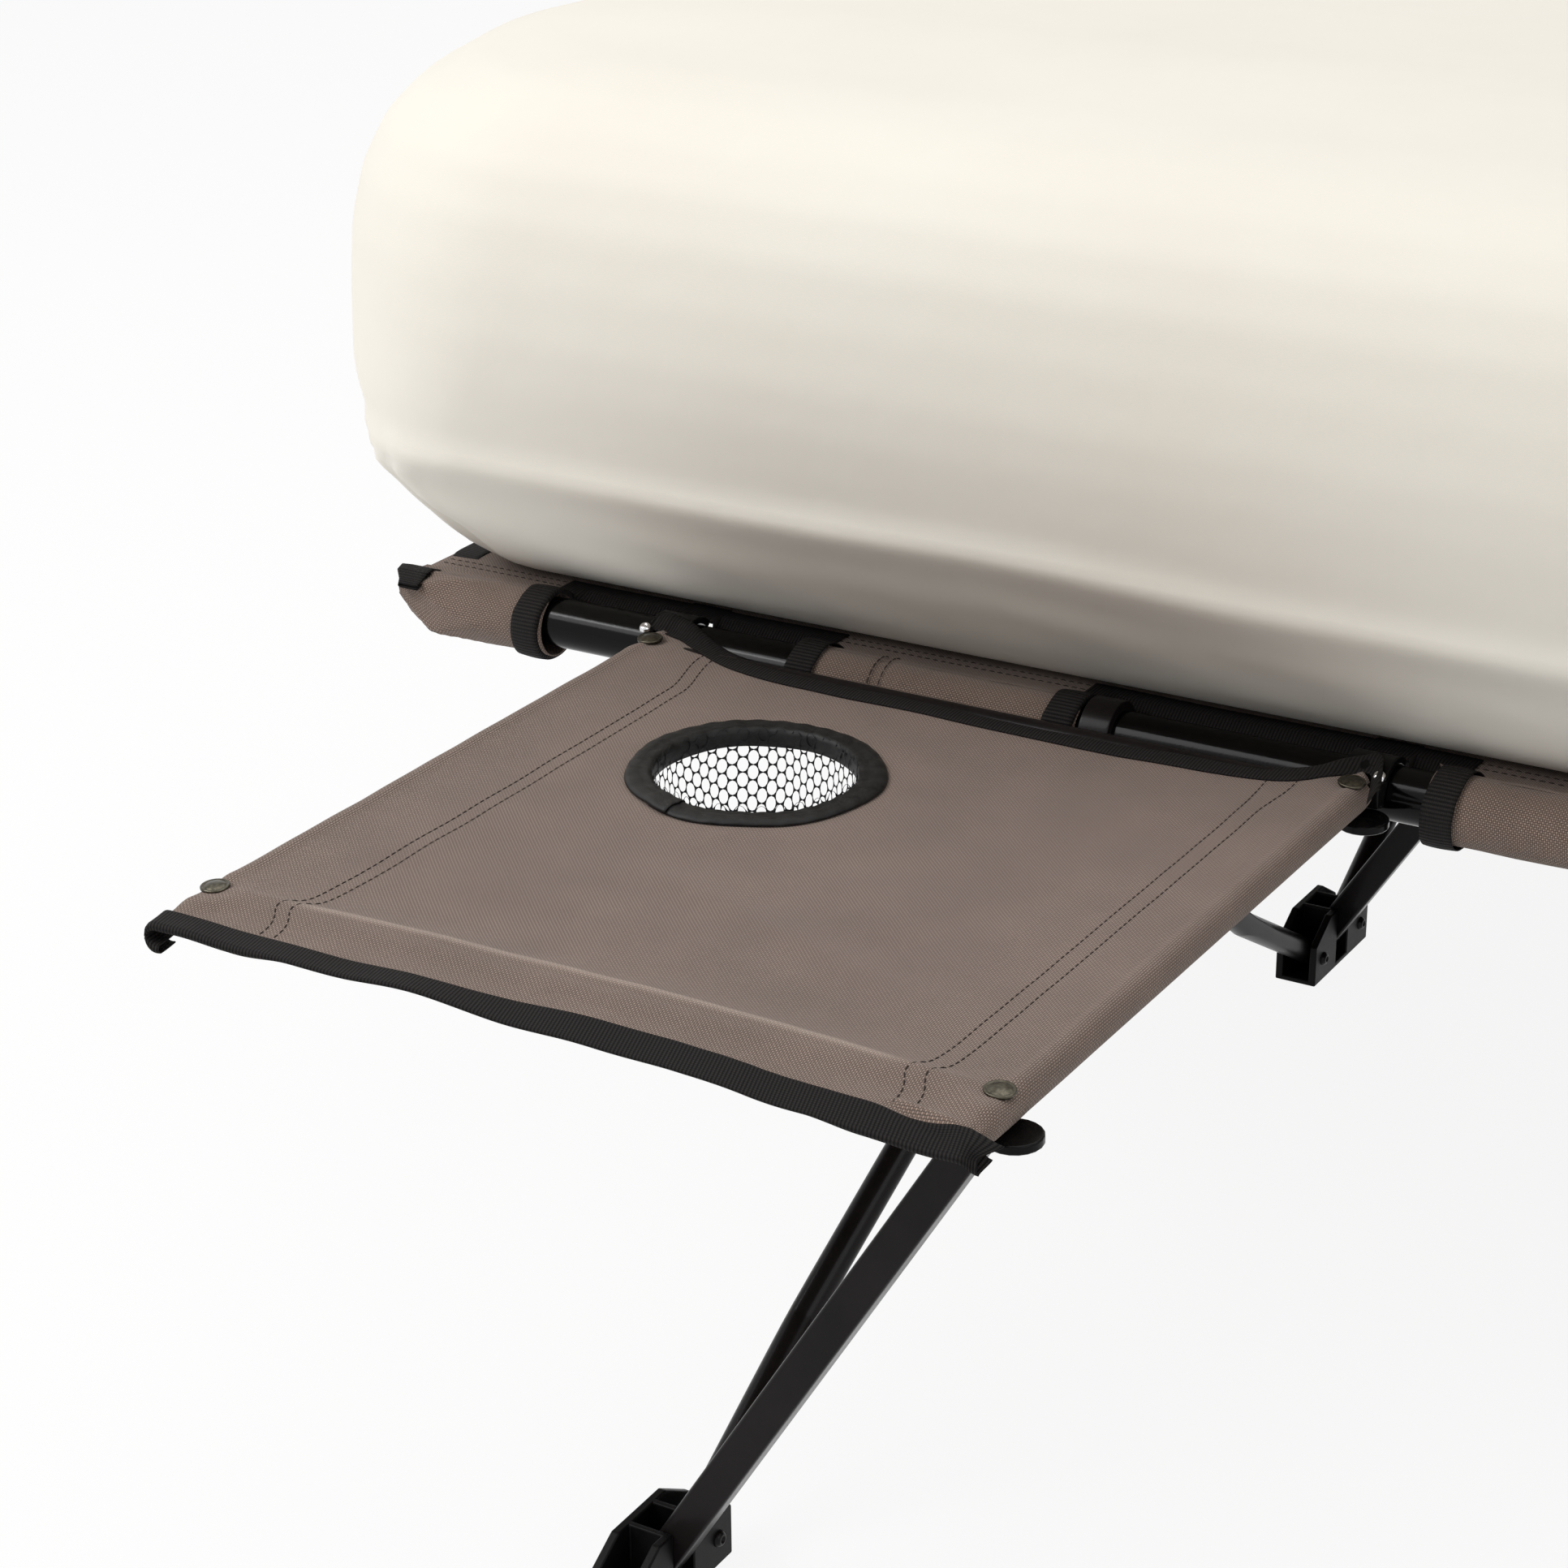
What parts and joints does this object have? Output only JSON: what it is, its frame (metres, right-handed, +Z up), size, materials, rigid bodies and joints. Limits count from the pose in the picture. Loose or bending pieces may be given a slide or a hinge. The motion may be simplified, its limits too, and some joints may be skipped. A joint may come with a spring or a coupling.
{
  "type": "camping cot",
  "caption": "Raised double camping cot with folding legs, a stretched fabric deck, a clip-on side table with a cup holder, and an airbed in a fitted sheet.",
  "frame": {"origin": "on the floor, under the middle of the whole object's box", "axes": "+X from the head end, where the side table is, to the foot end; +Y from the table's side to the far side; +Z up"},
  "size_m": [1.996, 1.912, 0.5574],
  "materials": {
    "rail": "glossy black paint on the two side rails",
    "tube": "satin black paint on the bars, legs and braces",
    "foot_plastic": "matt black moulded plastic",
    "hook_plastic": "glossy black moulded plastic",
    "taupe_fabric": "woven taupe polyester with hemmed edges",
    "tape": "black satin binding tape",
    "net": "black hexagonal net",
    "rivet": "antique brass, domed",
    "sheet": "cream fitted bed sheet with soft creases"
  },
  "bodies": {
    "frame": {"near_side_rail": "rail", "far_side_rail": "rail", "head_end_bar": "tube", "foot_end_bar": "tube", "head_hinge_bar": "tube", "middle_hinge_bar": "tube", "foot_hinge_bar": "tube", "head_brace_bar": "tube", "middle_brace_bar": "tube", "foot_brace_bar": "tube", "deck_fabric": "taupe_fabric"},
    "head_legs": {"head_leg_near_outer": "tube", "head_leg_near_inner": "tube", "head_leg_far_inner": "tube", "head_leg_far_outer": "tube", "head_near_foot": "foot_plastic", "head_far_foot": "foot_plastic"},
    "head_braces": {"head_near_brace": "tube", "head_far_brace": "tube"},
    "middle_legs": {"middle_leg_near_outer": "tube", "middle_leg_near_inner": "tube", "middle_leg_far_inner": "tube", "middle_leg_far_outer": "tube", "middle_near_foot": "foot_plastic", "middle_far_foot": "foot_plastic"},
    "middle_braces": {"middle_near_brace": "tube", "middle_far_brace": "tube"},
    "foot_legs": {"foot_leg_near_outer": "tube", "foot_leg_near_inner": "tube", "foot_leg_far_inner": "tube", "foot_leg_far_outer": "tube", "foot_near_foot": "foot_plastic", "foot_far_foot": "foot_plastic"},
    "foot_braces": {"foot_near_brace": "tube", "foot_far_brace": "tube"},
    "side_table": {"table_top": "taupe_fabric", "table_tube_left": "tube", "table_tube_right": "tube", "table_bar_front": "tube", "table_bar_back": "tube", "table_hook_left": "hook_plastic", "table_hook_right": "hook_plastic", "cup_ring": "tape", "cup_pocket": "net", "table_rivet_front_left": "rivet", "table_rivet_front_right": "rivet", "table_rivet_back_left": "rivet", "table_rivet_back_right": "rivet", "table_disc_front_left": "hook_plastic", "table_disc_front_right": "hook_plastic", "table_disc_back_left": "hook_plastic", "table_disc_back_right": "hook_plastic"},
    "table_stand": {"table_leg": "tube", "table_leg_foot": "foot_plastic"},
    "table_brace": {"table_leg_brace": "tube"},
    "airbed": {"airbed": "sheet"}
  },
  "joints": [
    {"name": "leg_fold_head", "type": "hinge", "parent": "frame", "child": "head_legs", "pos_m": [-0.586, 0.169, 0.271], "axis": [0, 1, 0], "range_deg": [0, 80]},
    {"name": "brace_fold_head", "type": "hinge", "parent": "head_legs", "child": "head_braces", "pos_m": [-0.586, 0.169, 0.0125], "axis": [0, 1, 0], "range_deg": [-26, 0]},
    {"name": "leg_fold_middle", "type": "hinge", "parent": "frame", "child": "middle_legs", "pos_m": [0, 0.169, 0.271], "axis": [0, 1, 0], "range_deg": [0, 80]},
    {"name": "brace_fold_middle", "type": "hinge", "parent": "middle_legs", "child": "middle_braces", "pos_m": [0, 0.169, 0.0125], "axis": [0, 1, 0], "range_deg": [-26, 0]},
    {"name": "leg_fold_foot", "type": "hinge", "parent": "frame", "child": "foot_legs", "pos_m": [0.586, 0.169, 0.271], "axis": [0, -1, 0], "range_deg": [0, 80]},
    {"name": "brace_fold_foot", "type": "hinge", "parent": "foot_legs", "child": "foot_braces", "pos_m": [0.586, 0.169, 0.0125], "axis": [0, -1, 0], "range_deg": [-26, 0]},
    {"name": "side_table_swing", "type": "hinge", "parent": "frame", "child": "side_table", "pos_m": [-0.6, -0.553, 0.2753], "axis": [-1, 0, 0], "range_deg": [0, 35]},
    {"name": "table_leg_fold", "type": "hinge", "parent": "frame", "child": "table_stand", "pos_m": [-0.55, -0.553, 0.2753], "axis": [-1, 0, 0], "range_deg": [0, 30]},
    {"name": "table_brace_fold", "type": "hinge", "parent": "table_stand", "child": "table_brace", "pos_m": [-0.586, -0.887, 0.0125], "axis": [0, 1, 0], "range_deg": [0, 66]},
    {"name": "airbed_lift", "type": "slide", "parent": "frame", "child": "airbed", "axis": [0, 0, 1], "range_m": [0, 0.2]}
  ],
  "couplings": [
    {"joint": "brace_fold_head", "follows": "leg_fold_head", "ratio": -0.316},
    {"joint": "brace_fold_middle", "follows": "leg_fold_middle", "ratio": -0.316},
    {"joint": "brace_fold_foot", "follows": "leg_fold_foot", "ratio": -0.316},
    {"joint": "table_brace_fold", "follows": "table_leg_fold", "ratio": 2.2}
  ]
}
